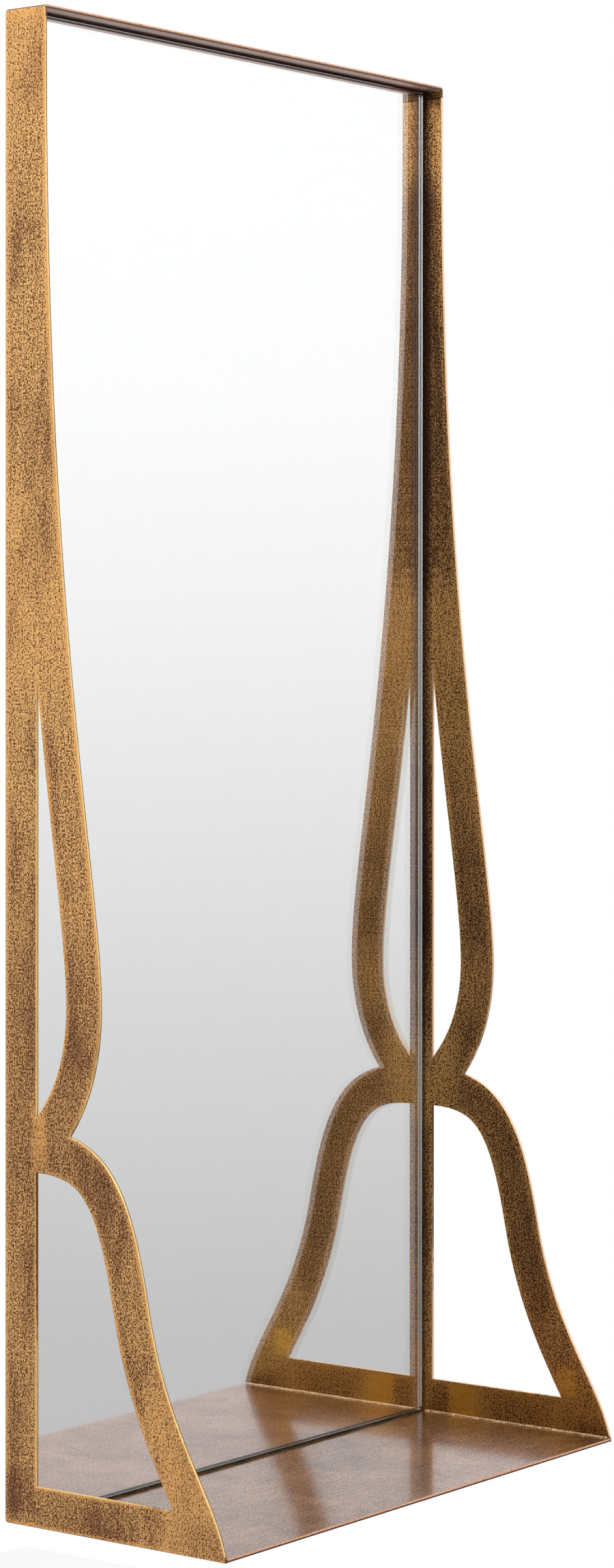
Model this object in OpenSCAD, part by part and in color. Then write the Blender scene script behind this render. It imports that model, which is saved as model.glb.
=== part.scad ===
// Iron framed wall mirror with a shelf and scrolled side panels
// The wall is the plane Y = 0, the front faces -Y and Z is up
// The origin is on the wall plane, midway between the two keyholes that carry the mirror

/* [Frame] */
// Height of the frame
frame_h = 1100; // [900:10:1400]
// Width over the two side panels
frame_w = 500; // [360:10:700]
// Depth of the shelf, and of the side panels at the foot
shelf_d = 204; // [185:1:230]
// Depth of the top bar, and of the side panels at the top
top_d = 38; // [36:1:44]
// Thickness of the iron plate
plate = 2.5; // [2:0.5:4]
// Length of the top bar's folded ends
return_h = 9; // [7:0.5:12]
// Inside radius of the top bar's folds
fold_r = 1; // [0.5:0.5:2]
// Radius on the lower back corner of each side panel
corner_r = 2; // [1:0.5:4]
// Size of the weld along each end of the shelf
weld_w = 2; // [1.5:0.5:3]

/* [Side panel bands] */
// Width of the straight band along the wall
strip_w = 30; // [26:1:34]
// Width of the curved band
band_w = 32; // [26:1:36]
// Height of the band along the foot
foot_h = 30; // [20:1:40]

/* [Side panel curve, upper part] */
// Drop from the top to where the front edge starts to swell
swell_drop = 36; // [20:1:60]
// How far the curve holds to the straight before it swells
swell_pull = 414; // [360:2:430]
// Depth of the belly
belly_d = 90; // [84:1:98]
// Height of the belly
belly_z = 378; // [370:1:390]
// How far the curve stays upright above the belly
belly_rise = 90; // [60:1:110]
// How far the curve stays upright below the belly
belly_fall = 48; // [40:1:56]
// Lean of the curl where it lands on the waist, in degrees from upright
waist_lean = 37; // [30:1:44]
// How far the curl keeps that lean
waist_pull = 19; // [14:1:24]
// Share of the shoulder's curve that lies behind the waist
waist_share = 0.165; // [0.12:0.005:0.2]

/* [Side panel curve, lower part] */
// Height of the shoulder, where the lower band leaves the straight one
shoulder_z = 289; // [286:1:294]
// How far the shoulder runs level
shoulder_pull = 72; // [60:1:80]
// Depth of the hip, where the curve turns from hollow to flare
hip_d = 134; // [128:1:140]
// Height of the hip
hip_z = 168; // [155:1:180]
// Lean of the curve at the hip, in degrees from upright
hip_lean = 11; // [6:1:16]
// How far the curve keeps that lean above the hip
hip_rise = 77; // [60:1:85]
// How far the curve keeps that lean below the hip
hip_fall = 89; // [70:1:95]
// Lean of the curve at the toe, in degrees from upright
toe_lean = 11; // [6:1:20]
// How far the curve keeps that lean above the toe
toe_pull = 45; // [30:1:60]

/* [Mirror] */
// Thickness of the glass
glass_t = 6; // [3:0.5:8]
// Distance of the glass face from the wall
glass_face = 21; // [19.5:0.5:25]
// Gap between the glass and the frame on every side
glass_gap = 1.5; // [1:0.25:3]
// Width of the ground arris along the glass edge
arris_w = 0.8; // [0.4:0.1:1.2]
// Thickness of the silver and its backing paint
silver_t = 0.3; // [0.2:0.05:0.5]
// Thickness of the backing board
board_t = 6; // [4:0.5:8]
// Gap between the board and the frame on every side
board_gap = 0.5; // [0.25:0.25:1.5]

/* [Fixing tabs and screws] */
// Thickness of the tabs and of the keyhole plates
tab_t = 2; // [1.5:0.5:3]
// Width of a tab along the frame
tab_w = 30; // [20:1:50]
// Reach of a tab from the frame
tab_l = 20; // [16:1:30]
// Radius of a tab's free corners
tab_r = 4; // [2:0.5:6]
// Distance of the outer side tabs from the top and bottom edges
tab_end = 190; // [120:5:300]
// Distance of the top and bottom tabs from the middle
tab_side = 120; // [60:5:160]
// Diameter of the hole in a tab
tab_hole = 4.6; // [4:0.1:6]
// Diameter of a screw's shank
screw_d = 3.5; // [3:0.1:4]
// Bite of a screw into the board
screw_bite = 3.5; // [2.5:0.1:3.9]
// Diameter of a screw's head
head_d = 7.4; // [6.5:0.1:9]
// Height of a screw's head
head_h = 2.2; // [1.6:0.1:3]
// Clearance round a screw in the board
pilot_gap = 0.05; // [0.02:0.01:0.1]

/* [Keyhole plates] */
// Width of a keyhole plate
hanger_w = 34; // [28:1:50]
// Drop from the top of the frame to the middle of the round holes
hook_drop = 42; // [40:1:60]
// Gap between a keyhole plate and the top bar
hanger_gap = 7.5; // [2:0.5:10]
// Distance of the round hole above the plate's lower edge
hook_rise = 16; // [12:1:24]
// Radius of the round hole
keyhole_r = 4.5; // [4:0.25:5.5]
// Width of the slot above it
slot_w = 4.6; // [4:0.1:5.5]
// Length of the slot from the middle of the round hole
slot_l = 14; // [10:1:20]

/* [Hidden] */
$fn = 48;

// Heights of the foot and the top, seen from the origin
foot_z = hook_drop - frame_h;
top_z = hook_drop;
// Inner faces of the side panels, and the clear width between them
inner_x = frame_w / 2 - plate;
clear_w = 2 * inner_x;
// Height of a side panel, which stops where the top bar's folded end begins
side_h = frame_h - return_h;
// Faces of the mirror's layers, as distances from the wall
silver_face = glass_face - glass_t;
board_face = silver_face - silver_t;
tab_face = board_face - board_t;
head_face = tab_face - tab_t;
// Size of the glass
glass_w = clear_w - 2 * glass_gap;
glass_h = frame_h - 2 * plate - 2 * glass_gap;
glass_z = foot_z + plate + glass_gap;
// Places of the fixing tabs
tab_rows = [top_z - tab_end, foot_z + frame_h / 2, foot_z + tab_end];
// Distance of the keyholes from the middle, and the height of their plates
hook_x = inner_x - hanger_w / 2;
hanger_h = hook_rise + hook_drop - plate - hanger_gap;
// Steps along the long and the short curves, and round a corner
long_steps = 26;
short_steps = 18;
corner_steps = 6;
// Margin by which a cut runs past the face it opens
past = 1;

// A downward direction that leans forward by an angle
function lean(angle) = [sin(angle), -cos(angle)];

// Direction of travel on a cubic curve, given by its four points of depth and height
function curve_dir(c, t) =
    let (v = pow(1 - t, 2) * (c[1] - c[0]) + 2 * t * (1 - t) * (c[2] - c[1]) + t * t * (c[3] - c[2]))
    v / norm(v);

// Point on a curve that is followed downward, set in toward the wall
function curve_at(c, t, inset = 0) =
    let (s = 1 - t, d = curve_dir(c, t))
    s * s * s * c[0] + 3 * s * s * t * c[1] + 3 * s * t * t * c[2] + t * t * t * c[3] + inset * [d.y, -d.x];

// Row of points along a curve after its start, where the row may start part of the way
function curve_points(c, steps, inset = 0, from = 0) =
    [for (i = [1:steps]) curve_at(c, from + (1 - from) * i / steps, inset)];

// Row of points round a corner
function corner_points(centre, r, from, sweep) =
    [for (i = [0:corner_steps]) let (a = from + sweep * i / corner_steps) centre + r * [cos(a), sin(a)]];

// The four curves of the front edge: swell and curl above the waist, bell and flare below it
belly = [belly_d, belly_z];
shoulder = [strip_w, shoulder_z];
hip = [hip_d, hip_z];
toe = [shelf_d, 0];
bell_curve = [shoulder, shoulder + [shoulder_pull, 0], hip - hip_rise * lean(hip_lean), hip];
flare_curve = [hip, hip + hip_fall * lean(hip_lean), toe - toe_pull * lean(toe_lean), toe];
waist = curve_at(bell_curve, waist_share);
swell_start = [top_d, frame_h - swell_drop];
swell_curve = [swell_start, swell_start - [0, swell_pull], belly + [0, belly_rise], belly];
curl_curve = [belly, belly - [0, belly_fall], waist + waist_pull * [sin(waist_lean), cos(waist_lean)], waist];

// Outline of a side panel, from its upper back corner round by the front
module panel_outline() {
    polygon(concat(
        [[0, side_h], [top_d, side_h], swell_start],
        curve_points(swell_curve, long_steps),
        curve_points(curl_curve, short_steps),
        curve_points(bell_curve, short_steps, 0, waist_share),
        curve_points(flare_curve, short_steps),
        corner_points([corner_r, corner_r], corner_r, 270, -90)
    ));
}

// Slender leaf between the straight band and the curved one
module leaf_cut() {
    run_out = curve_at(curl_curve, 1, band_w) + strip_w * curve_dir(curl_curve, 1);
    intersection() {
        translate([strip_w, 0]) square([shelf_d, frame_h]);
        polygon(concat(
            [curve_at(swell_curve, 0, band_w)],
            curve_points(swell_curve, long_steps, band_w),
            curve_points(curl_curve, short_steps, band_w),
            [run_out]
        ));
    }
}

// Bell-shaped window over the foot
module bell_cut() {
    intersection() {
        translate([strip_w, foot_h]) square([shelf_d, frame_h]);
        polygon(concat(
            [[0, 0], [0, shoulder_z - band_w], shoulder - [0, band_w]],
            curve_points(bell_curve, short_steps, band_w),
            curve_points(flare_curve, short_steps, band_w)
        ));
    }
}

// Side panel: one plate with its scrolled front edge and both cut-outs
module side_panel(outer_x) {
    translate([outer_x, 0, foot_z])
        rotate([90, 0, -90])
            linear_extrude(plate)
                difference() {
                    panel_outline();
                    leaf_cut();
                    bell_cut();
                }
}

module left_side_panel() {
    color("peru") side_panel(plate - frame_w / 2);
}

module right_side_panel() {
    color("peru") side_panel(frame_w / 2);
}

// Section of a quarter bend, drawn round the middle of the bend
module fold_section() {
    intersection() {
        difference() {
            circle(fold_r + plate);
            circle(fold_r);
        }
        square(fold_r + plate);
    }
}

// Top bar: a strip folded down at both ends onto the side panels
module top_bar() {
    bend_x = frame_w / 2 - plate - fold_r;
    bend_z = top_z - plate - fold_r;
    leg_h = return_h - plate - fold_r;
    color("chocolate")
        rotate([90, 0, 0])
            linear_extrude(top_d)
                union() {
                    translate([-bend_x, top_z - plate]) square([2 * bend_x, plate]);
                    for (side = [0, 1])
                        mirror([side, 0]) {
                            translate([bend_x, bend_z]) fold_section();
                            translate([inner_x, top_z - return_h]) square([plate, leg_h]);
                        }
                }
}

// Shelf: a plate between the side panels, level with their foot
module shelf() {
    color("sienna") translate([-inner_x, -shelf_d, foot_z]) cube([clear_w, shelf_d, plate]);
}

// Weld bead in the corner between the shelf and a side panel, in front of the glass
module shelf_weld(side) {
    bead_back = glass_face + weld_w;
    bead_l = shelf_d - bead_back - weld_w;
    color("tan")
        mirror([side, 0, 0])
            translate([inner_x, -bead_back, foot_z + plate])
                rotate([90, 0, 0])
                    linear_extrude(bead_l)
                        intersection() {
                            circle(weld_w);
                            translate([-2 * weld_w, 0]) square(2 * weld_w);
                        }
}

module shelf_weld_left() {
    shelf_weld(1);
}

module shelf_weld_right() {
    shelf_weld(0);
}

// Pane outline across one direction, with an arris on both front edges
module arris_section(width) {
    polygon([
        [0, -silver_face],
        [width, -silver_face],
        [width, arris_w - glass_face],
        [width - arris_w, -glass_face],
        [arris_w, -glass_face],
        [0, arris_w - glass_face]
    ]);
}

// Glass pane with ground arrises all round its face
module mirror_glass() {
    color("lightcyan", 0.5)
        intersection() {
            translate([-glass_w / 2, 0, glass_z]) linear_extrude(glass_h) arris_section(glass_w);
            translate([-glass_w / 2, 0, glass_z + glass_h])
                rotate([0, 90, 0])
                    linear_extrude(glass_w)
                        arris_section(glass_h);
        }
}

// Silver and paint on the back of the pane
module silvered_back() {
    color("gainsboro") translate([-glass_w / 2, -silver_face, glass_z]) cube([glass_w, silver_t, glass_h]);
}

// Places of the tabs: position on the frame and the angle of their reach
function side_tab(side, row) = [[side * inner_x, tab_rows[row]], side > 0 ? 180 : 0];
function top_tab(side) = [[side * tab_side, top_z - plate], -90];
function bottom_tab(side) = [[side * tab_side, foot_z + plate], 90];
tab_places = concat(
    [for (side = [-1, 1], row = [0, 1, 2]) side_tab(side, row)],
    [for (side = [-1, 1]) top_tab(side)],
    [for (side = [-1, 1]) bottom_tab(side)]
);

// Puts a flat shape against the frame at a tab's place, this far from the wall
module at_tab(place, face) {
    translate([place[0].x, -face, place[0].y])
        rotate([0, -place[1], 0])
            rotate([90, 0, 0])
                children();
}

// Backing board that closes the frame, with a pilot hole behind every tab
module backing_board() {
    color("burlywood")
        difference() {
            translate([board_gap - inner_x, -board_face, foot_z + plate + board_gap])
                cube([clear_w - 2 * board_gap, board_t, frame_h - 2 * plate - 2 * board_gap]);
            for (place = tab_places)
                at_tab(place, tab_face)
                    translate([tab_l / 2, 0, -past])
                        cylinder(r = screw_d / 2 + pilot_gap, h = screw_bite + pilot_gap + past);
        }
}

// Flat tab that reaches from the frame behind the board
module tab(place) {
    color("saddlebrown")
        at_tab(place, head_face)
            linear_extrude(tab_t)
                difference() {
                    union() {
                        translate([0, -tab_w / 2]) square([tab_l - tab_r, tab_w]);
                        translate([0, tab_r - tab_w / 2]) square([tab_l, tab_w - 2 * tab_r]);
                        for (end = [-1, 1])
                            translate([tab_l - tab_r, end * (tab_w / 2 - tab_r)]) circle(tab_r);
                    }
                    translate([tab_l / 2, 0]) circle(tab_hole / 2);
                }
}

module tab_left_top() {
    tab(side_tab(-1, 0));
}

module tab_left_middle() {
    tab(side_tab(-1, 1));
}

module tab_left_bottom() {
    tab(side_tab(-1, 2));
}

module tab_right_top() {
    tab(side_tab(1, 0));
}

module tab_right_middle() {
    tab(side_tab(1, 1));
}

module tab_right_bottom() {
    tab(side_tab(1, 2));
}

module tab_top_left() {
    tab(top_tab(-1));
}

module tab_top_right() {
    tab(top_tab(1));
}

module tab_bottom_left() {
    tab(bottom_tab(-1));
}

module tab_bottom_right() {
    tab(bottom_tab(1));
}

// Pan head screw with a cross slot, its head seated on the tab
module board_screw() {
    slot_long = 0.6 * head_d;
    slot_wide = 0.14 * head_d;
    slot_deep = 0.5 * head_h;
    cylinder(d = screw_d, h = tab_t + screw_bite);
    translate([0, 0, -head_h])
        difference() {
            cylinder(d = head_d, h = head_h);
            for (turn = [0, 90])
                rotate([0, 0, turn])
                    translate([-slot_long / 2, -slot_wide / 2, -past])
                        cube([slot_long, slot_wide, slot_deep + past]);
        }
}

module board_screws() {
    color("silver")
        for (place = tab_places)
            at_tab(place, head_face)
                translate([tab_l / 2, 0, 0])
                    board_screw();
}

// Keyhole plate in an upper corner, level with the back of the frame
module hanger(side) {
    color("saddlebrown")
        mirror([side, 0, 0])
            translate([hook_x - hanger_w / 2, 0, -hook_rise])
                rotate([90, 0, 0])
                    linear_extrude(tab_t)
                        difference() {
                            square([hanger_w, hanger_h]);
                            translate([hanger_w / 2, hook_rise]) circle(keyhole_r);
                            translate([hanger_w / 2 - slot_w / 2, hook_rise]) square([slot_w, slot_l]);
                            translate([hanger_w / 2, hook_rise + slot_l]) circle(slot_w / 2);
                        }
}

module hanger_left() {
    hanger(1);
}

module hanger_right() {
    hanger(0);
}

left_side_panel();
right_side_panel();
top_bar();
shelf();
shelf_weld_left();
shelf_weld_right();
mirror_glass();
silvered_back();
backing_board();
tab_left_top();
tab_left_middle();
tab_left_bottom();
tab_right_top();
tab_right_middle();
tab_right_bottom();
tab_top_left();
tab_top_right();
tab_bottom_left();
tab_bottom_right();
board_screws();
hanger_left();
hanger_right();
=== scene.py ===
# %% [markdown]
# # Iron framed wall mirror with a shelf
#
# The real mirror is a welded frame of 2.5 mm iron plate. Two side panels are cut to
# a scrolled outline, a strip that is folded down at both ends ties them at the top,
# and a plate between them makes the shelf. A pane of silvered glass on a board
# fills the frame, and the whole frame has an antique brass patina.
#
# The lesson dresses solids that are already measured. Where a solid has the right
# shape it keeps its mesh and gets a finish. Where the real edge is worn or the weld
# is rippled, a finer piece is modelled over the solid and stands for it.

import math

import bmesh
import bpy
from mathutils import Matrix, Vector, noise


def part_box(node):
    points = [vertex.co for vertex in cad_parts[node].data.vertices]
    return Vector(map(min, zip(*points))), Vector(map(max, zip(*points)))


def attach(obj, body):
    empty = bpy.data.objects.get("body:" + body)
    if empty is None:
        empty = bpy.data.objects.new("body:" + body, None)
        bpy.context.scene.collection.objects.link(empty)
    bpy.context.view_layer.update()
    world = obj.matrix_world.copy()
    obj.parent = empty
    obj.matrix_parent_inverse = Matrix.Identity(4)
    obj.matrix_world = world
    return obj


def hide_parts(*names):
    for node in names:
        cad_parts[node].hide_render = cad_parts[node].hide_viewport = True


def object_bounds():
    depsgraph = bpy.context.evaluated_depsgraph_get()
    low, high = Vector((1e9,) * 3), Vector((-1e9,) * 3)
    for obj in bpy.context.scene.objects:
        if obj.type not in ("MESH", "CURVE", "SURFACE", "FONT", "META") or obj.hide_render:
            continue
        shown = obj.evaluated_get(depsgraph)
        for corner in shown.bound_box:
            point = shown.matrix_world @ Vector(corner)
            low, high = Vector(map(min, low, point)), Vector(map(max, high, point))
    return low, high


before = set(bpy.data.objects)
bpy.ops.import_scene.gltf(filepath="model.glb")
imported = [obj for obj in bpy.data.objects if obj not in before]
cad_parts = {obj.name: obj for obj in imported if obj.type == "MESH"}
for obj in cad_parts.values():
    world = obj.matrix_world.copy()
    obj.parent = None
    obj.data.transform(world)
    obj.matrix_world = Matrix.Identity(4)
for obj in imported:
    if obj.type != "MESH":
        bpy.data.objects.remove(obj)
cad_low, cad_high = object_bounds()
print("solids:", len(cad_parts))
print("width, depth, height:", [round(v, 4) for v in cad_high - cad_low])

# %% [markdown]
# ## Camera
#
# The mirror is seen from the left, at about 53 degrees to the wall's normal, from
# almost three metres away. The place and the turn were solved from the corners and
# the outline of both panels. The lens looks nearly level, and a vertical shift
# frames the mirror, so its uprights stay parallel as they do in the photograph.
#
# A long lens could be copied by trial and error, but a solved camera lets every
# later difference be blamed on the object and not on the view.

# %% Camera
image_height = 2300
focal_pixels = 5455.7
horizon_pixel = 985.4
camera_place = (-2.2765, -1.8015, -0.4202)
camera_turn = math.radians(52.999)
camera_tilt = math.radians(0.398)
camera_roll = math.radians(0.038)

lens = bpy.data.cameras.new("studio_camera")
lens.lens = lens.sensor_width * focal_pixels / image_height
lens.shift_y = (horizon_pixel - image_height / 2) / image_height
lens.clip_start = 0.1
lens.clip_end = 100
camera = bpy.data.objects.new("studio_camera", lens)
bpy.context.scene.collection.objects.link(camera)
camera.matrix_world = (
    Matrix.Translation(camera_place)
    @ Matrix.Rotation(-camera_turn, 4, "Z")
    @ Matrix.Rotation(math.pi / 2 - camera_tilt, 4, "X")
    @ Matrix.Rotation(camera_roll, 4, "Z")
)
bpy.context.scene.camera = camera
bpy.context.scene.view_settings.view_transform = "Standard"
print("lens:", round(lens.lens, 2), "mm, shift", round(lens.shift_y, 4))

# %% [markdown]
# ## Colours and node helpers
#
# Colours are written as they look on a screen, from 0 to 255, and turned into the
# linear values that a shader works with. Each finish starts from the same empty
# material, and a few short helpers add nodes to it, so a finish reads as a recipe.

# %% Colours
def tone(red, green, blue):
    """A screen colour as linear values, with full alpha."""
    parts = [c / 255 for c in (red, green, blue)]
    return (*[p / 12.92 if p <= 0.04045 else ((p + 0.055) / 1.055) ** 2.4 for p in parts], 1.0)


print("a middle grey on the screen is", round(tone(128, 128, 128)[0], 3), "in the shader")

# %% Node helpers
def new_finish(name):
    """An empty finish: the material, its node tree and its shader."""
    finish = bpy.data.materials.new(name)
    finish.use_nodes = True
    return finish, finish.node_tree, finish.node_tree.nodes["Principled BSDF"]


def feed(tree, socket, value):
    """Sets a socket to a plain value, or joins it to another node's output."""
    if isinstance(value, bpy.types.NodeSocket):
        tree.links.new(value, socket)
    else:
        socket.default_value = value


def sums(tree, kind, first, second=0.0, third=0.0):
    """One step of arithmetic, such as ADD, MULTIPLY or MAXIMUM."""
    step = tree.nodes.new("ShaderNodeMath")
    step.operation = kind
    for socket, value in zip(step.inputs, (first, second, third)):
        feed(tree, socket, value)
    return step.outputs[0]


def ramp(tree, value, low, high, to_low=0.0, to_high=1.0, kind="SMOOTHSTEP"):
    """Spreads the part of a value between low and high over another range."""
    spread = tree.nodes.new("ShaderNodeMapRange")
    spread.interpolation_type = kind
    feed(tree, spread.inputs["Value"], value)
    feed(tree, spread.inputs["From Min"], low)
    feed(tree, spread.inputs["From Max"], high)
    feed(tree, spread.inputs["To Min"], to_low)
    feed(tree, spread.inputs["To Max"], to_high)
    return spread.outputs["Result"]


def coat(tree, shader, colour, roughness, metal=0.0):
    """Gives a shader its colour, its roughness and how far it is a metal."""
    feed(tree, shader.inputs["Base Color"], colour)
    feed(tree, shader.inputs["Roughness"], roughness)
    feed(tree, shader.inputs["Metallic"], metal)


def blended(tree, share, first, second, kind="MIX"):
    """Mixes two colours by a share that runs from the first to the second."""
    mix = tree.nodes.new("ShaderNodeMix")
    mix.data_type = "RGBA"
    mix.blend_type = kind
    # The colour sockets share their names with others, so they go by number.
    for number, value in ((0, share), (6, first), (7, second)):
        feed(tree, mix.inputs[number], value)
    return mix.outputs[2]


# %% Pattern helpers
def stretched(tree, scale=(1, 1, 1)):
    """The piece's own coordinates in metres, stretched for a pattern."""
    place = tree.nodes.new("ShaderNodeTexCoord")
    mapping = tree.nodes.new("ShaderNodeMapping")
    mapping.inputs["Scale"].default_value = scale
    tree.links.new(place.outputs["Object"], mapping.inputs["Vector"])
    return mapping.outputs["Vector"]


def own_place(tree):
    """The piece's own X, Y and Z in metres, as three outputs."""
    parts = tree.nodes.new("ShaderNodeSeparateXYZ")
    tree.links.new(stretched(tree), parts.inputs["Vector"])
    return parts.outputs


def cloudy(tree, vector, scale, detail=2.0, rough=0.5, warp=0.0):
    """Soft noise from 0 to 1, where scale counts the blobs in a metre."""
    pattern = tree.nodes.new("ShaderNodeTexNoise")
    pattern.inputs["Scale"].default_value = scale
    pattern.inputs["Detail"].default_value = detail
    pattern.inputs["Roughness"].default_value = rough
    pattern.inputs["Distortion"].default_value = warp
    tree.links.new(vector, pattern.inputs["Vector"])
    return pattern.outputs[0]


def relief(tree, shader, height, depth, strength):
    """Raises the surface by a pattern, with its full depth in metres."""
    bump = tree.nodes.new("ShaderNodeBump")
    bump.inputs["Strength"].default_value = strength
    bump.inputs["Distance"].default_value = depth
    tree.links.new(height, bump.inputs["Height"])
    tree.links.new(bump.outputs["Normal"], shader.inputs["Normal"])


# %% [markdown]
# ## Studio
#
# The photograph has a clean white ground and no wall. The mirror, though, shows a
# room: white above the eye and a calm grey below it. So the world is white to the
# camera, and to reflections it is that room, which every polished part then shares.
# A real white room could be built from cards, but one graded world is simpler and
# gives the same reflections.
#
# The side that the camera stands on is darker, as a studio is. The inner faces of
# the frame look at that side in the glass, which darkens them, and their patina is
# given darker, browner colours as painted shade.

# %% Room that the mirror shows
studio = bpy.data.worlds.new("white_studio")
studio.use_nodes = True
bpy.context.scene.world = studio
air = studio.node_tree
air.nodes.clear()
looking = air.nodes.new("ShaderNodeTexCoord")
split = air.nodes.new("ShaderNodeSeparateXYZ")
air.links.new(looking.outputs["Generated"], split.inputs["Vector"])

# How high a direction points, from -1 straight down to 1 straight up, and its light.
heights = (-1.0, -0.30, -0.18, -0.095, 0.016, 0.07, 0.12)
lights = (0.50, 0.51, 0.607, 0.77, 1.01, 1.095, 1.12)
room = air.nodes.new("ShaderNodeValToRGB")
feed(air, room.inputs["Fac"], ramp(air, split.outputs["Z"], -1, 1, kind="LINEAR"))
stops = room.color_ramp.elements
while len(stops) < len(heights):
    stops.new(0.5)
for stop, height, light in zip(stops, heights, lights):
    stop.position = (height + 1) / 2
    stop.color = (light, light, light, 1)

camera_side = air.nodes.new("ShaderNodeVectorMath")
camera_side.operation = "DOT_PRODUCT"
camera_side.inputs[1].default_value = (-math.sin(camera_turn), -math.cos(camera_turn), 0)
air.links.new(looking.outputs["Generated"], camera_side.inputs[0])
dimmed = ramp(air, camera_side.outputs["Value"], 0.35, 0.95, 1.0, 0.5)
shown_room = blended(air, 1.0, room.outputs["Color"], dimmed, "MULTIPLY")
print("room brightness, floor to ceiling:", lights)

# %% World
WHITE = (1, 1, 1, 1)


def background(colour, strength=1.0):
    """Light from all round, of one colour or of the colours of a node."""
    glow = air.nodes.new("ShaderNodeBackground")
    feed(air, glow.inputs["Color"], colour)
    glow.inputs["Strength"].default_value = strength
    return glow.outputs[0]


def either(share, first, second):
    """The first light where the share is 0, and the second where it is 1."""
    choice = air.nodes.new("ShaderNodeMixShader")
    for socket, value in zip(choice.inputs, (share, first, second)):
        feed(air, socket, value)
    return choice.outputs[0]


rays = air.nodes.new("ShaderNodeLightPath").outputs
mirrored = sums(air, "MAXIMUM", rays["Is Glossy Ray"], rays["Is Transmission Ray"])
soft_strength = 0.72
lit = either(mirrored, background(WHITE, soft_strength), background(shown_room))
sky = air.nodes.new("ShaderNodeOutputWorld")
air.links.new(either(rays["Is Camera Ray"], lit, background(WHITE)), sky.inputs["Surface"])
print("soft light from all round:", soft_strength)

# %% [markdown]
# Two soft lamps lift the side that faces the camera and the shelf. They stand where
# the glass can't show them. The floor lies well below, because the mirror hangs on a
# wall with its shelf at basin height, and it catches a soft shadow there. It glows a
# little for the camera alone, so it fades into the white ground.

# %% Lamps
def softbox(name, place, aim, size, power):
    """A square soft lamp that faces a point."""
    lamp = bpy.data.lights.new(name, "AREA")
    lamp.shape = "SQUARE"
    lamp.size = size
    lamp.energy = power
    stand = bpy.data.objects.new(name, lamp)
    stand.location = place
    stand.rotation_euler = (Vector(aim) - Vector(place)).to_track_quat("-Z", "Y").to_euler()
    bpy.context.scene.collection.objects.link(stand)
    print(name, "at", place)


softbox("side_softbox", place=(-2.6, -1.9, 1.5), aim=(0, -0.1, -0.5), size=1.8, power=34)
softbox("top_softbox", place=(0.2, -1.3, 2.1), aim=(0, -0.1, -0.8), size=1.2, power=12)

# %% Floor
floor_height = cad_low.z - 0.9
bpy.ops.object.select_all(action="DESELECT")
bpy.ops.mesh.primitive_plane_add(size=5, location=(0, -0.1, floor_height))
floor = bpy.context.object
floor.name = "studio_floor"
floor_finish, tree, shader = new_finish("pale_floor")
mottled = cloudy(tree, stretched(tree), 6, detail=3)
pale = blended(tree, mottled, tone(232, 232, 231), tone(238, 238, 237))
coat(tree, shader, pale, 0.9)
shader.inputs["Emission Color"].default_value = WHITE
seen = tree.nodes.new("ShaderNodeLightPath").outputs["Is Camera Ray"]
feed(tree, shader.inputs["Emission Strength"], sums(tree, "MULTIPLY", seen, 0.3))
floor.data.materials.append(floor_finish)
print("floor at", round(floor_height, 3))

# %% [markdown]
# ## Antique brass patina
#
# The plate is iron with a brass coloured coat that was darkened and rubbed back. Up
# close it is gold with a fine dark speck under a millimetre wide, drawn out a little
# along the height where it was rubbed. Brown clouds a few centimetres wide lie over
# it. Along every edge the rubbing went through to smooth bright metal.
#
# Specks and clouds are noise in the piece's own coordinates, so the pattern runs on
# from one plate to the next as it does over a ground weld. The rubbed border can't
# come from noise, since it follows the outline. It is painted on the mesh as a value
# called wear, which is 1 on an edge and falls to 0 a few millimetres inside it. A
# second painted value, under, is 1 where a cut edge looks down, and there the edge is
# darkened as painted shade.
#
# The coat is uneven over a panel's height as well. It is brighter at the top, at the
# waist and at the foot. Beside the glass the inner face is darkened as painted shade.
# Each such place is a zone, a product of soft limits along the axes. A zone is rubbed
# bright, polished to bare gold or given tarnish, with a ragged border, or it is painted
# shade or evenly dark, with an even border. On cut edges the tarnish also carries
# painted shade.

# %% Zone helpers
def painted(tree, name):
    """A value that is painted on the mesh."""
    value = tree.nodes.new("ShaderNodeAttribute")
    value.attribute_name = name
    return value.outputs["Fac"]


def swing(tree, pattern, middle=0.5):
    """A pattern that swings about 0."""
    return sums(tree, "SUBTRACT", pattern, middle)


def inside(tree, place, uneven, limits):
    """How far a point lies inside a zone. Each limit runs along an axis or a painted value."""
    share = 1.0
    for along, low, high in limits:
        value = place[along] if along in ("X", "Y", "Z") else painted(tree, along)
        value = sums(tree, "MULTIPLY_ADD", uneven, abs(high - low), value)
        share = sums(tree, "MULTIPLY", share, ramp(tree, value, low, high))
    return share


def add_zones(tree, zones, uneven, border, tarnish):
    """Works zones into the rubbed border and into tarnish and painted shade, and finds the black
    and the bare.
    """
    place = own_place(tree)
    black, bare = 0.0, 0.0
    for effect, amount, *limits in zones:
        ragged_by = 0.0 if effect in ("evenly_dark", "painted_shade") else uneven
        zone = sums(tree, "MULTIPLY", inside(tree, place, ragged_by, limits), amount)
        if effect in ("rubbed", "polished"):
            border = sums(tree, "MAXIMUM", border, zone)
        if effect == "polished":
            bare = sums(tree, "MAXIMUM", bare, zone)
        if effect == "evenly_dark":
            black = sums(tree, "MAXIMUM", black, zone)
        if effect in ("tarnish_and_shade", "painted_shade"):
            tarnish = sums(tree, "MULTIPLY_ADD", zone, 3.0, tarnish)
            border = sums(tree, "MULTIPLY", border, sums(tree, "SUBTRACT", 1.0, zone))
    return border, tarnish, black, bare


print("limits of a zone run along X, Y, Z, wear or under")

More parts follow.
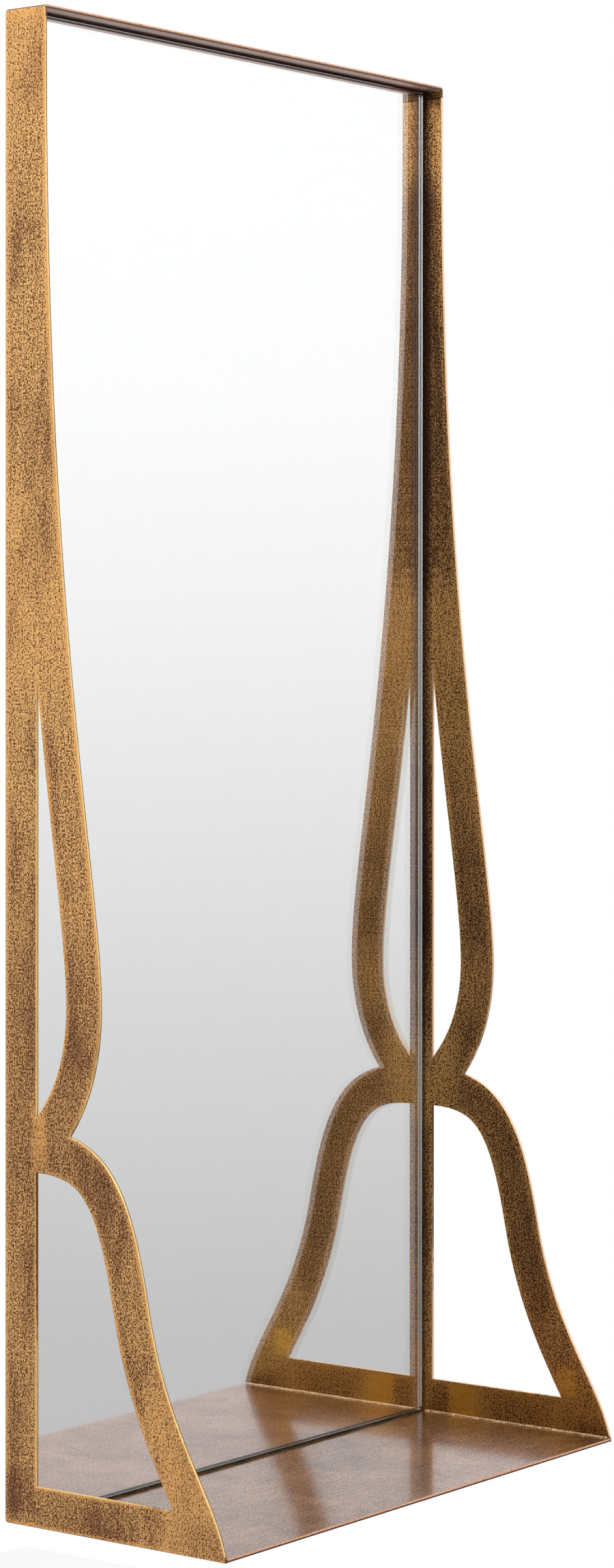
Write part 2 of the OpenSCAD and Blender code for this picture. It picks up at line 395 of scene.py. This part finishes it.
# %% Patina recipe
def patina(name, bright, dark, cloud, rubbed, roughness, depth=0.92, reach=0.3, clouding=0.05,
           cleared=0.16, clouds=(0.0, 1.0), crisp=0.0, polished=None, zones=()):
    """A speckled and clouded metal coat with a rubbed border where the mesh says wear.

    The colours are those of the ground, its specks, its clouds, its rubbed border and its
    polished zones. depth is how dark a speck gets, and crisp how sharply it ends. reach
    is the wear where the border begins, and cleared how many specks the rubbing takes
    away. clouds is the range of the clouds, and clouding the specks that they add.
    """
    finish, tree, shader = new_finish(name)
    specks = cloudy(tree, stretched(tree, (1.0, 1.0, 0.85)), 820, detail=1.0, rough=0.6, warp=0.3)
    clumps = cloudy(tree, stretched(tree, (1.0, 1.0, 0.6)), 380, detail=2.0, rough=0.55)
    drifts = cloudy(tree, stretched(tree, (1.0, 1.0, 0.4)), 34, detail=2.0, rough=0.6)
    rubs = cloudy(tree, stretched(tree, (1.0, 1.0, 0.04)), 700, detail=1.0)

    clump_swing = swing(tree, clumps)
    drift_swing = swing(tree, drifts)
    ragged = sums(tree, "MULTIPLY_ADD", clump_swing, 0.9, painted(tree, "wear"))
    ragged = sums(tree, "MULTIPLY_ADD", drift_swing, 0.6, ragged)
    border = ramp(tree, ragged, reach, reach + 0.6)
    tarnish = ramp(tree, drifts, 0.4, 0.74, *clouds)
    uneven = sums(tree, "ADD", drift_swing, clump_swing)
    # The zones add rubbing, tarnish, painted shade and dark lines.
    border, tarnish, black, bare = add_zones(tree, zones, uneven, border, tarnish)

    # How much of the dark coat is left at a point.
    cover = sums(tree, "MULTIPLY_ADD", clump_swing, 0.26, specks)
    cover = sums(tree, "MULTIPLY_ADD", swing(tree, rubs), 0.16, cover)
    cover = sums(tree, "MULTIPLY_ADD", swing(tree, tarnish, 0.3), clouding, cover)
    cover = sums(tree, "MULTIPLY_ADD", border, -cleared, cover)
    if polished:
        cover = sums(tree, "MULTIPLY_ADD", bare, -0.09, cover)
    shade = sums(tree, "MAXIMUM", ramp(tree, cover, 0.33 + crisp, 0.66 - crisp), black)

    # The metal under it, from the widest pattern to the finest.
    clouded = sums(tree, "MINIMUM", sums(tree, "MULTIPLY", tarnish, 0.5), 1.0)
    ground = blended(tree, clouded, bright, cloud)
    ground = blended(tree, sums(tree, "MULTIPLY", border, 0.8), ground, rubbed)
    if polished:
        ground = blended(tree, bare, ground, polished)
    body = blended(tree, sums(tree, "MULTIPLY", shade, depth), ground, dark)
    dullness = ramp(tree, shade, 0.0, 1.0, roughness - 0.06, roughness + 0.1)
    coat(tree, shader, body, dullness, metal=0.94)
    pits = sums(tree, "MULTIPLY_ADD", clumps, -0.4, sums(tree, "MULTIPLY", specks, -1.0))
    relief(tree, shader, pits, depth=0.0002, strength=0.3)
    print("patina:", name, "with", len(zones), "zones")
    return finish


# %% [markdown]
# A zone is written as its effect, its strength and its limits. A limit names an axis,
# the place where the zone starts and the place where it is full. Places are in metres
# from the keyholes, so the waist is near -0.78 and the foot ends at -1.058.

# %% Patina on the outer faces
outer_patina = patina(
    "outer_brass_patina", bright=tone(255, 200, 130), dark=tone(100, 60, 36),
    cloud=tone(180, 132, 98), rubbed=tone(244, 179, 104), roughness=0.46, depth=1.0,
    zones=[
        # Top edge, with a dark line along the bend as a painted reflection, and back edge
        ("evenly_dark", 0.9, ("Z", 0.0406, 0.0411)),
        ("rubbed", 0.7, ("Y", -0.006, -0.001)),
        # Upper panel
        ("rubbed", 0.8, ("Z", 0.02, 0.04)),
        ("rubbed", 0.3, ("Z", -0.08, 0.0)),
        ("rubbed", 0.25, ("Z", -0.26, -0.34), ("Z", -0.5, -0.42)),
        # Curl, waist and bell
        ("tarnish_and_shade", 0.2, ("Z", -0.6, -0.7), ("Z", -0.86, -0.82)),
        ("tarnish_and_shade", 0.08, ("Z", -0.82, -0.86)),
        ("rubbed", 0.7, ("Y", -0.044, -0.036), ("Y", -0.022, -0.028),
         ("Z", -0.74, -0.77), ("Z", -0.81, -0.79)),
        # Foot
        ("rubbed", 0.45, ("Z", -0.93, -0.96), ("Y", -0.12, -0.15)),
        ("tarnish_and_shade", 0.26, ("Y", -0.036, -0.02), ("Z", -1.012, -1.024), ("Z", -1.054, -1.044)),
        ("tarnish_and_shade", 0.13, ("Y", -0.036, -0.06), ("Y", -0.13, -0.09), ("Z", -1.03, -1.04)),
        ("tarnish_and_shade", 0.2, ("Y", -0.15, -0.18), ("Z", -1.026, -1.044)),
    ],
)

# %% Patina on the inner faces, with darker colours as painted shade
inner_patina_painted_shade = patina(
    "inner_patina_with_painted_shade", bright=tone(232, 172, 106), dark=tone(58, 36, 20),
    cloud=tone(114, 78, 64), rubbed=tone(244, 184, 110), polished=tone(252, 184, 76),
    roughness=0.42, depth=0.95, reach=0.02, clouding=0.06, cleared=0.05,
    clouds=(0.15, 0.6), crisp=0.06,
    zones=[
        # Joint with the top bar
        ("evenly_dark", 0.55, ("Z", 0.0321, 0.0324)),
        ("evenly_dark", 0.95, ("Z", 0.0318, 0.0322), ("Z", 0.0338, 0.0334)),
        # Upper panel
        ("rubbed", 0.35, ("Z", -0.045, -0.025)),
        ("tarnish_and_shade", 0.27, ("Z", -0.01, -0.065), ("Z", -0.42, -0.26)),
        ("rubbed", 0.75, ("Z", -0.54, -0.48), ("Z", -0.34, -0.42)),
        # Curl, waist and bell
        ("tarnish_and_shade", 0.1, ("Z", -0.56, -0.6), ("Z", -0.94, -0.91)),
        ("rubbed", 0.6, ("Z", -0.66, -0.69), ("Z", -0.74, -0.71)),
        ("rubbed", 0.4, ("Z", -0.95, -0.97), ("Z", -1.02, -1.0)),
        ("rubbed", 1.0, ("Y", -0.066, -0.044), ("Z", -0.72, -0.75), ("Z", -0.83, -0.81)),
        # Foot
        ("polished", 1.0, ("Y", -0.09, -0.066), ("Y", -0.036, -0.054), ("Z", -1.02, -1.036)),
        ("polished", 0.7, ("Y", -0.178, -0.168), ("Y", -0.148, -0.158),
         ("Z", -1.036, -1.026), ("Z", -1.0, -1.01)),
        ("polished", 0.35, ("Z", -1.0, -1.025)),
        ("tarnish_and_shade", 0.22, ("Y", -0.15, -0.12), ("Y", -0.08, -0.1), ("Z", -1.026, -1.046)),
        ("tarnish_and_shade", 0.22, ("Y", -0.056, -0.04), ("Y", -0.024, -0.034), ("Z", -1.022, -1.04)),
        ("tarnish_and_shade", 0.3, ("Y", -0.15, -0.18), ("Z", -1.036, -1.05)),
        ("evenly_dark", 0.3, ("Z", -1.015, -1.03)),
        # Beside the glass, as painted shade
        ("painted_shade", 0.4, ("Y", -0.0305, -0.0225), ("Z", -0.8, -0.68)),
        ("painted_shade", 0.06, ("Y", -0.0305, -0.0225)),
    ],
)

# %% Patina on the cut edges
left_edge_patina = patina(
    "rubbed_gold_edge", bright=tone(255, 210, 140), dark=tone(140, 94, 52),
    cloud=tone(84, 56, 40), rubbed=tone(255, 212, 142), roughness=0.34, depth=0.4,
    # The strip of the cut edge beside the inner face, and where it looks down, are darkened as
    # painted shade.
    zones=[("tarnish_and_shade", 1.0, ("X", -0.2488, -0.2484)), ("tarnish_and_shade", 1.0, ("under", 0.2, 0.8))],
)
right_edge_patina = patina(
    "rubbed_pale_edge", bright=tone(244, 204, 164), dark=tone(150, 110, 80),
    cloud=tone(84, 56, 40), rubbed=tone(246, 208, 170), roughness=0.34, depth=0.4,
    # Where the cut edge looks down it is darkened as painted shade.
    zones=[("tarnish_and_shade", 1.0, ("under", 0.2, 0.8))],
)
bar_edge_patina = patina(
    "rubbed_bar_edge", bright=tone(216, 160, 122), dark=tone(84, 54, 40),
    cloud=tone(150, 122, 112), rubbed=tone(226, 176, 142), roughness=0.34, depth=0.6,
    zones=[("tarnish_and_shade", 1.0, ("Z", 0.0409, 0.0404))],
)
copper_patina = patina(
    "rubbed_copper_edge", bright=tone(206, 150, 118), dark=tone(84, 54, 40),
    cloud=tone(70, 46, 36), rubbed=tone(222, 170, 138), roughness=0.34, depth=0.8,
    # The lowest strip of the shelf's front edge is darkened as painted shade.
    zones=[("tarnish_and_shade", 1.0, ("Z", -1.0566, -1.0570))],
)

# %% [markdown]
# ## Satin brown plate
#
# The top of the shelf was lacquered after the patina. It holds a blurred picture of
# the panels and of the white openings between their bands. Seen at a low angle the
# brown turns to a pale mauve, because a clear lacquer reflects more, and without
# colour, as the eye gets lower. So the recipe is a dark brown metal with a fine grain
# of lighter, duller flakes, and a thin smooth coat over it. The flakes stand out where
# the plate mirrors something dark and are lost where it mirrors something bright. The
# grain is drawn out from front to back, since from low in front that direction is seen
# shortened. The metal's tint at a low angle is set a little pink.
#
# The underside of the top bar has the same grain without lacquer, in pale mauve
# colours that are a painted sheen. A strip of it next to the glass is darkened as
# painted shade.

# %% Satin plate recipe
def satin_plate(name, light, deep, metal, flakes=None, lacquer=0.0, low_angle=(1, 1, 1),
                corner=None):
    """A smooth brown metal with a fine grain, which may be of duller flakes.

    low_angle is its tint when seen from low down. Past a corner limit it is darkened as painted
    shade.
    """
    finish, tree, shader = new_finish(name)
    grain = cloudy(tree, stretched(tree, (1.0, 0.45, 1.0)), 1400, detail=2.0, rough=0.6)
    patches = cloudy(tree, stretched(tree, (0.8, 0.6, 1.0)), 26, detail=3.0, rough=0.6, warp=0.5)
    brushed = cloudy(tree, stretched(tree, (0.06, 1.0, 1.0)), 600)
    border = ramp(tree, painted(tree, "wear"), 0.5, 1.0, 0.0, 0.7)
    mottle = sums(tree, "MULTIPLY_ADD", patches, 0.3, sums(tree, "MULTIPLY", grain, 1.1))
    mottle = sums(tree, "MULTIPLY_ADD", brushed, 0.25, mottle)
    between = (0.71, 0.87)
    body = blended(tree, ramp(tree, mottle, *between), light, deep)
    body = blended(tree, border, body, tone(206, 146, 104))
    # Next to the glass the colour is darkened as painted shade.
    if corner:
        painted_shade_by_glass = ramp(tree, own_place(tree)["Y"], *corner)
        body = blended(tree, painted_shade_by_glass, body, tone(120, 82, 70))
    if flakes is not None:
        metal = ramp(tree, mottle, *between, flakes, metal)
    coat(tree, shader, body, ramp(tree, mottle, 0.65, 1.0, 0.31, 0.4), metal)
    shader.inputs["Specular Tint"].default_value = (*low_angle, 1)
    shader.inputs["Coat Weight"].default_value = lacquer
    shader.inputs["Coat Roughness"].default_value = 0.12
    relief(tree, shader, grain, depth=0.00005, strength=0.3)
    print("satin plate:", name)
    return finish


shelf_satin = satin_plate(
    "satin_brown_shelf", light=tone(190, 137, 86), deep=tone(80, 50, 38),
    metal=0.9, flakes=0.15, lacquer=0.72, low_angle=(1.0, 0.8, 0.79),
)
# Pale mauve colours: a painted sheen that stands for the brown underside seen at a low angle.
satin_painted_sheen = satin_plate(
    "satin_bar_painted_sheen", light=tone(246, 214, 204), deep=tone(214, 178, 168),
    metal=0.7, corner=(-0.031, -0.024),
)

# %% [markdown]
# ## Worn plates
#
# A side panel, the top bar and the shelf are cut plates whose arrises were broken
# with a file. Each is a copy of its solid's mesh, joined into clean faces. The long
# arrises get a half millimetre round, and two insets lay a narrow and a wider border
# inside every outline. Those borders carry the wear value, and they also keep the
# smooth shading off the flat middle.
#
# Where one plate was welded to the next and ground flush, there is no arris and no
# border. So that end is first pushed out past the joint, dressed like the rest, and
# cut back to its place at the end.

# %% Selection helpers
def take_up(piece):
    """Selects one object alone, so an operator acts on nothing else."""
    bpy.ops.object.select_all(action="DESELECT")
    piece.select_set(True)
    bpy.context.view_layer.objects.active = piece


def choose(piece, kind, rule):
    """In edit mode, selects just the parts that the rule accepts. kind is FACE or EDGE."""
    bpy.ops.mesh.select_mode(type=kind)
    bpy.ops.mesh.select_all(action="DESELECT")
    grid = bmesh.from_edit_mesh(piece.data)
    for part in grid.faces if kind == "FACE" else grid.edges:
        if rule(part):
            part.select_set(True)
    bmesh.update_edit_mesh(piece.data)


def clean_copy(node, name, finishes):
    """Copies a solid, joins its triangles into whole faces and stays in edit mode."""
    piece = bpy.data.objects.new(name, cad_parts[node].data.copy())
    bpy.context.scene.collection.objects.link(piece)
    piece.data.materials.clear()
    for finish in finishes:
        piece.data.materials.append(finish)
    take_up(piece)
    bpy.ops.object.mode_set(mode="EDIT")
    bpy.ops.mesh.select_all(action="SELECT")
    bpy.ops.mesh.customdata_custom_splitnormals_clear()
    bpy.ops.mesh.remove_doubles(threshold=0.000005)
    bpy.ops.mesh.dissolve_degenerate(threshold=0.00001)
    bpy.ops.mesh.dissolve_limited(angle_limit=math.radians(0.1))
    print(name, "faces before dressing:", len(bmesh.from_edit_mesh(piece.data).faces))
    return piece


# %% Arris and border helpers
OUTER, INNER, EDGE = 0, 1, 2
ARRIS = 0.0005
NARROW_BORDER = 0.0012
WIDE_BORDER = 0.005
CROWDED = 0.0007


def on_arris(edge):
    """Whether an edge lies between one skin of a plate and its cut edge."""
    skins = {face.material_index for face in edge.link_faces}
    return EDGE in skins and len(skins & {OUTER, INNER}) == 1


def set_wear(piece, value, everywhere=False):
    """Writes the wear value of the selected corners, or of all of them."""
    grid = bmesh.from_edit_mesh(piece.data)
    layer = grid.verts.layers.float.get("wear") or grid.verts.layers.float.new("wear")
    for corner in grid.verts:
        if everywhere or corner.select:
            corner[layer] = value
    bmesh.update_edit_mesh(piece.data)


def break_arrises(piece):
    """Rounds the arrises and lays two borders inside the outline of each skin."""
    choose(piece, "EDGE", on_arris)
    bpy.ops.mesh.bevel(
        offset=ARRIS, segments=2, affect="EDGES", material=EDGE, clamp_overlap=False,
    )
    set_wear(piece, 1.0, everywhere=True)
    for skin in (OUTER, INNER):
        choose(piece, "FACE", lambda f: f.material_index == skin)
        bpy.ops.mesh.inset(thickness=NARROW_BORDER, use_boundary=True, use_even_offset=False)
        # On a tight curve the inset's corners crowd, and the next inset would fold there.
        bpy.ops.mesh.remove_doubles(threshold=CROWDED)
        set_wear(piece, 0.7)
        bpy.ops.mesh.inset(thickness=WIDE_BORDER, use_boundary=True, use_even_offset=False)
        set_wear(piece, 0.0)


def mark_under(piece):
    """Writes how far each corner of the cut edge looks down, where the patina paints shade."""
    grid = bmesh.from_edit_mesh(piece.data)
    under = grid.verts.layers.float.new("under")
    for corner in grid.verts:
        looks = [-f.normal.z for f in corner.link_faces if f.material_index == EDGE]
        corner[under] = max([0] + looks)
    bmesh.update_edit_mesh(piece.data)


print("arris and borders in mm:", [round(v * 1000, 1) for v in (ARRIS, NARROW_BORDER, WIDE_BORDER)])

# %% Worn plate
AT_JOINT = 0.00002
PAST_JOINT = 0.02


def worn_plate(node, name, skin_of, finishes, joints):
    """Dresses a copy of a plate. skin_of sorts faces, and joints lists (axis, place, side)."""
    piece = clean_copy(node, name, finishes)
    grid = bmesh.from_edit_mesh(piece.data)
    for face in grid.faces:
        face.material_index = skin_of(face)
    for axis, place, side in joints:
        for corner in grid.verts:
            if abs(corner.co[axis] - place) < AT_JOINT:
                corner.co[axis] += side * PAST_JOINT
    bmesh.update_edit_mesh(piece.data)

    break_arrises(piece)
    for axis, place, side in joints:
        point, normal = [0, 0, 0], [0, 0, 0]
        point[axis] = place
        normal[axis] = side
        bpy.ops.mesh.select_all(action="SELECT")
        bpy.ops.mesh.bisect(plane_co=point, plane_no=normal, use_fill=True, clear_outer=True)
    bpy.ops.mesh.select_all(action="SELECT")
    bpy.ops.mesh.normals_make_consistent(inside=False)
    mark_under(piece)
    bpy.ops.object.mode_set(mode="OBJECT")
    bpy.ops.object.shade_smooth_by_angle(angle=math.radians(50))
    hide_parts(node)
    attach(piece, "root")
    print(name, "faces:", len(piece.data.polygons))
    return piece


# %% [markdown]
# A panel's outer face is the one that looks away from the mirror. Its top edge is a
# flush joint with the folded end of the top bar.

# %% Side panels
X_AXIS, Z_AXIS = 0, 2
SAME_PLANE = 0.0001
FACING = 0.9
panel_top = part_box("left_side_panel")[1].z
panel_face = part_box("right_side_panel")[1].x


def panel_skin(side):
    """Sorts the faces of a panel that stands on one side, -1 for left and 1 for right."""
    outer_x = side * panel_face

    def sort(face):
        reach = [corner.co.x for corner in face.verts]
        if max(reach) - min(reach) > SAME_PLANE:
            return EDGE
        return OUTER if abs(reach[0] - outer_x) < SAME_PLANE else INNER
    return sort


left_panel = worn_plate(
    "left_side_panel", "left_panel_worn", panel_skin(-1),
    (outer_patina, inner_patina_painted_shade, left_edge_patina), [(Z_AXIS, panel_top, 1)],
)
right_panel = worn_plate(
    "right_side_panel", "right_panel_worn", panel_skin(1),
    (outer_patina, inner_patina_painted_shade, right_edge_patina), [(Z_AXIS, panel_top, 1)],
)

# %% [markdown]
# The top bar's skin runs over the top and down both folded ends as one sheet, so its
# border follows the long front and back edges only. The folded ends carry on the
# panels' finishes, and the joint shows inside as a thin dark line.

# %% Top bar
def bar_skin(face):
    """Sorts the faces of the folded strip by which way they look."""
    if abs(face.normal.y) > 0.7:
        return EDGE
    centre = face.calc_center_median()
    if face.normal.z < -FACING and abs(centre.z - panel_top) < SAME_PLANE:
        return EDGE
    outwards = 1 if centre.x > 0 else -1
    return OUTER if face.normal.z + face.normal.x * outwards > 0 else INNER


top_bar = worn_plate(
    "top_bar", "top_bar_worn", bar_skin,
    (outer_patina, satin_painted_sheen, bar_edge_patina, left_edge_patina, inner_patina_painted_shade),
    [(Z_AXIS, panel_top, -1)],
)

# %% Folded ends of the top bar
FOLDED_EDGE, FOLDED_INSIDE = 3, 4
fold_inside = panel_face - 0.0026  # a little more than the plate is thick
fold_top = panel_top + 0.0066  # just under the bend
for face in top_bar.data.polygons:
    on_fold = abs(face.center.x) > fold_inside and face.center.z < fold_top
    if face.material_index == EDGE and on_fold:
        face.material_index = FOLDED_EDGE
    elif face.material_index == INNER and abs(face.normal.x) > FACING:
        face.material_index = FOLDED_INSIDE
folded = sum(face.material_index >= FOLDED_EDGE for face in top_bar.data.polygons)
print("faces on the folded ends:", folded)

# %% [markdown]
# The shelf is a plain plate between the panels. Both of its ends are joints.

# %% Shelf
shelf_low, shelf_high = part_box("shelf")


def shelf_skin(face):
    """Sorts the shelf's faces into its top, its underside and its cut edge."""
    if abs(face.normal.z) < FACING:
        return EDGE
    return OUTER if face.normal.z > 0 else INNER


shelf = worn_plate(
    "shelf", "shelf_worn", shelf_skin, (shelf_satin, satin_painted_sheen, copper_patina),
    [(X_AXIS, shelf_low.x, -1), (X_AXIS, shelf_high.x, 1)],
)

# %% [markdown]
# ## Weld beads
#
# Each end of the shelf is welded to its panel along the top. A bead laid by hand is a
# row of overlapping drops. One drop is modelled as a short barrel, repeated with an
# Array modifier, and roughened a little in code, because no two drops are alike. The
# parts that would lie inside the shelf and the panel are cut away, so a quarter stays.

# %% Weld finish
bead_finish, tree, shader = new_finish("rubbed_weld")
crust = cloudy(tree, stretched(tree), 900, detail=3, rough=0.6)
body = blended(tree, ramp(tree, crust, 0.45, 0.7), tone(206, 172, 130), tone(116, 84, 54))
coat(tree, shader, body, ramp(tree, crust, 0.3, 0.7, 0.3, 0.5), metal=0.92)
relief(tree, shader, crust, depth=0.0001, strength=0.4)
print("weld finish:", bead_finish.name)

# %% Row of drops
DROP_LENGTH = 0.0026
# How far along a drop, and how much wider it is there than at its ends.
BARREL = ((0.25, 1.07), (0.5, 1.1), (0.75, 1.07))


def row_of_drops(name, corner, low, radius, drops, pitch):
    """One barrel at the start of the weld, repeated along it."""
    bpy.ops.object.select_all(action="DESELECT")
    bpy.ops.mesh.primitive_cylinder_add(
        vertices=24, radius=radius, depth=pitch, end_fill_type="NOTHING",
        location=(corner, low.y + pitch / 2, low.z), rotation=(math.pi / 2, 0, 0),
    )
    piece = bpy.context.object
    piece.name = name
    bpy.ops.object.transform_apply(location=True, rotation=True, scale=True)
    bpy.ops.object.mode_set(mode="EDIT")
    choose(piece, "EDGE", lambda e: abs(e.verts[0].co.y - e.verts[1].co.y) > pitch / 2)
    bpy.ops.mesh.subdivide(number_cuts=len(BARREL))
    for share, swell in BARREL:
        level = low.y + pitch * share
        choose(piece, "EDGE", lambda e: all(abs(v.co.y - level) < pitch / 20 for v in e.verts))
        bpy.ops.transform.resize(value=(swell, 1, swell), center_override=(corner, level, low.z))
    bpy.ops.object.mode_set(mode="OBJECT")

    row = piece.modifiers.new("row_of_drops", "ARRAY")
    row.count = drops
    row.use_relative_offset = False
    row.use_constant_offset = True
    row.constant_offset_displace = (0, pitch, 0)
    row.use_merge_vertices = True
    row.merge_threshold = 0.00001
    bpy.ops.object.modifier_apply(modifier=row.name)
    return piece


print("each drop is", DROP_LENGTH * 1000, "mm long")

# %% Weld beads
def weld_bead(node, name):
    """A rippled bead along the corner between the shelf and one panel."""
    low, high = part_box(node)
    side = 1 if low.x > 0 else -1
    corner = high.x if side > 0 else low.x
    leg = high.z - low.z
    drops = round((high.y - low.y) / DROP_LENGTH)
    pitch = (high.y - low.y) / drops
    piece = row_of_drops(name, corner, low, leg * 0.76, drops, pitch)
    # Lumps and a fine crust, which never stand past the leg of the solid weld.
    for point in piece.data.vertices:
        spoke = Vector((point.co.x - corner, 0, point.co.z - low.z))
        lump = 0.94 + 0.16 * noise.noise(point.co * 420) + 0.05 * noise.noise(point.co * 1300)
        spoke *= min(lump, 0.98 * leg / spoke.length)
        point.co.x = corner + spoke.x
        point.co.z = low.z + spoke.z

    bpy.ops.object.mode_set(mode="EDIT")
    for point, normal in (((corner, 0, 0), (side, 0, 0)), ((0, 0, low.z), (0, 0, -1))):
        bpy.ops.mesh.select_all(action="SELECT")
        bpy.ops.mesh.bisect(plane_co=point, plane_no=normal, clear_outer=True)
    bpy.ops.mesh.select_all(action="SELECT")
    bpy.ops.mesh.fill_holes(sides=0)
    bpy.ops.mesh.select_all(action="SELECT")
    bpy.ops.mesh.normals_make_consistent(inside=False)
    bpy.ops.object.mode_set(mode="OBJECT")
    bpy.ops.object.shade_smooth_by_angle(angle=math.radians(55))
    piece.data.materials.append(bead_finish)
    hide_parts(node)
    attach(piece, "root")
    print(name, "drops:", drops, "faces:", len(piece.data.polygons))


weld_bead("shelf_weld_left", "weld_bead_left")
weld_bead("shelf_weld_right", "weld_bead_right")

# %% [markdown]
# ## Glass and silver
#
# A mirror is a clear pane with a bright coat behind it, so each thing in front of it
# is shown twice: once strongly by the silver and once faintly by the glass's front.
# The faint picture is a good deal stronger here than bare glass would give, so the
# pane also has a clear coat of a higher index. At the pane's edge the light runs
# inside the glass and turns green. The lower edge, which the pane stands on, is made
# matt and painted a dark grey-green, a painted stand-in for that green edge seen
# through the glass over the shelf. One shiny plane would be simpler and would lose
# all of that, so the pane stays a solid of real thickness with a clear, slightly green
# body, and the silver is a plate behind it.

# %% Clear pane
pane_finish, tree, shader = new_finish("clear_float_glass")
shader.inputs["Transmission Weight"].default_value = 1.0
shader.inputs["IOR"].default_value = 1.52
shader.inputs["Coat Weight"].default_value = 1.0
shader.inputs["Coat IOR"].default_value = 1.8
shader.inputs["Coat Roughness"].default_value = 0.0
shader.inputs["Specular Tint"].default_value = (1.0, 0.62, 0.8, 1)
tint = tree.nodes.new("ShaderNodeVolumeAbsorption")
tint.inputs["Color"].default_value = (0.3, 0.8, 0.5, 1)
tint.inputs["Density"].default_value = 5.0
output = next(n for n in tree.nodes if n.type == "OUTPUT_MATERIAL")
tree.links.new(tint.outputs["Volume"], output.inputs["Volume"])
print("pane finish:", pane_finish.name)

# %% Matt lower edge of the pane, with a painted dark green line
glass_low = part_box("mirror_glass")[0]
place = own_place(tree)
behind_face = ramp(tree, place["Y"], glass_low.y + 0.00001, glass_low.y + 0.00003)
arris_top = glass_low.z + 0.0008
matt = ramp(tree, place["Z"], arris_top + 0.0001, arris_top, 0.0, behind_face)
waviness = cloudy(tree, stretched(tree), 7, detail=1)
polish = ramp(tree, waviness, 0.2, 0.8, 0.0, 0.002)
clear = blended(tree, waviness, (0.998, 1.0, 0.999, 1), WHITE)
# On the matt arris the colour turns dark grey-green, a painted stand-in for the green edge seen
# through the glass.
body = blended(tree, matt, clear, tone(118, 146, 140))
coat(tree, shader, body, sums(tree, "MULTIPLY_ADD", matt, 0.3, polish))
print("matt edge of the glass up to", round(arris_top, 4))

# %% [markdown]
# The silver is a plate 0.3 mm thick. Its front is drawn back from the glass by the
# width of a hair, so two faces never lie in one plane, and a thin line of edge sealer
# is inset round it. Its back is the grey paint that protects the silver.

# %% Silver and paint finishes
silver_finish, tree, shader = new_finish("bright_silver")
haze = cloudy(tree, stretched(tree), 12)
silvery = blended(tree, haze, (0.985, 0.95, 0.972, 1), (0.99, 0.955, 0.977, 1))
coat(tree, shader, silvery, ramp(tree, haze, 0.2, 0.8, 0.0, 0.004), metal=1.0)

paint_finish, tree, shader = new_finish("grey_mirror_paint")
flecks = cloudy(tree, stretched(tree), 240, detail=3)
grey = blended(tree, flecks, tone(104, 110, 104), tone(122, 127, 120))
coat(tree, shader, grey, ramp(tree, flecks, 0.3, 0.7, 0.45, 0.6))
relief(tree, shader, flecks, depth=0.0001, strength=0.3)
print("finishes:", silver_finish.name, paint_finish.name)

# %% Silver plate
SILVER, PAINT = 0, 1
HAIR = 0.00003
SEALER_WIDTH = 0.0006
MIRROR_AREA = 0.1
silver_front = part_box("silvered_back")[0].y
silver = clean_copy("silvered_back", "silver_coat", (silver_finish, paint_finish))
choose(silver, "FACE", lambda f: f.normal.y < -FACING)
bpy.ops.transform.translate(value=(0, HAIR, 0))
bpy.ops.mesh.inset(thickness=SEALER_WIDTH, use_even_offset=True)
bpy.ops.object.mode_set(mode="OBJECT")
for face in silver.data.polygons:
    is_mirror = face.normal.y < -FACING and face.area > MIRROR_AREA
    face.material_index = SILVER if is_mirror else PAINT
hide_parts("silvered_back")
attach(silver, "root")
print("silver front at", round(silver_front, 5), "faces:", len(silver.data.polygons))

# %% [markdown]
# ## Back of the mirror
#
# Behind the silver lies a fibreboard that the glass is bonded to. Ten tabs inside the
# frame hold it with one screw each, and two keyhole plates in the upper corners hang
# the mirror. These solids already have the right shape and need only a finish. The
# iron here was left with the dark patina, since nobody rubs what faces the wall.

# %% Board finish
board_finish, tree, shader = new_finish("brown_fibreboard")
fibres = cloudy(tree, stretched(tree, (1.0, 1.0, 0.35)), 700, detail=3, rough=0.65)
blots = cloudy(tree, stretched(tree), 18, detail=3)
felted = sums(tree, "MULTIPLY_ADD", fibres, 0.6, sums(tree, "MULTIPLY", blots, 0.5))
body = blended(tree, ramp(tree, felted, 0.35, 0.75), tone(152, 116, 78), tone(112, 80, 52))
coat(tree, shader, body, ramp(tree, fibres, 0.3, 0.7, 0.7, 0.88))
relief(tree, shader, fibres, depth=0.0002, strength=0.4)
print("board finish:", board_finish.name)

# %% Bracket finish
bracket_finish, tree, shader = new_finish("dark_brown_patina")
grit = cloudy(tree, stretched(tree), 800, detail=3, rough=0.6)
smears = cloudy(tree, stretched(tree), 60, detail=3, rough=0.6, warp=0.5)
tarnish = sums(tree, "MULTIPLY_ADD", grit, 0.6, sums(tree, "MULTIPLY", smears, 0.5))
body = blended(tree, ramp(tree, tarnish, 0.4, 0.75), tone(104, 76, 50), tone(54, 38, 26))
coat(tree, shader, body, ramp(tree, tarnish, 0.4, 0.75, 0.42, 0.6), metal=0.85)
relief(tree, shader, grit, depth=0.0001, strength=0.4)
print("bracket finish:", bracket_finish.name)

# %% Screw finish
screw_finish, tree, shader = new_finish("yellow_zinc")
plating = cloudy(tree, stretched(tree), 500)
body = blended(tree, plating, tone(196, 184, 150), tone(164, 158, 146))
coat(tree, shader, body, ramp(tree, plating, 0.3, 0.7, 0.25, 0.42), metal=1.0)
relief(tree, shader, plating, depth=0.00005, strength=0.3)
print("screw finish:", screw_finish.name)

# %% Finishes on the kept solids
kept = {
    "mirror_glass": pane_finish, "backing_board": board_finish, "board_screws": screw_finish,
}
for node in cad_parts:
    if node.startswith(("tab_", "hanger_")):
        kept[node] = bracket_finish
for node, finish in kept.items():
    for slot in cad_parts[node].material_slots:
        slot.material = finish
print("solids with a finish of their own:", len(kept))
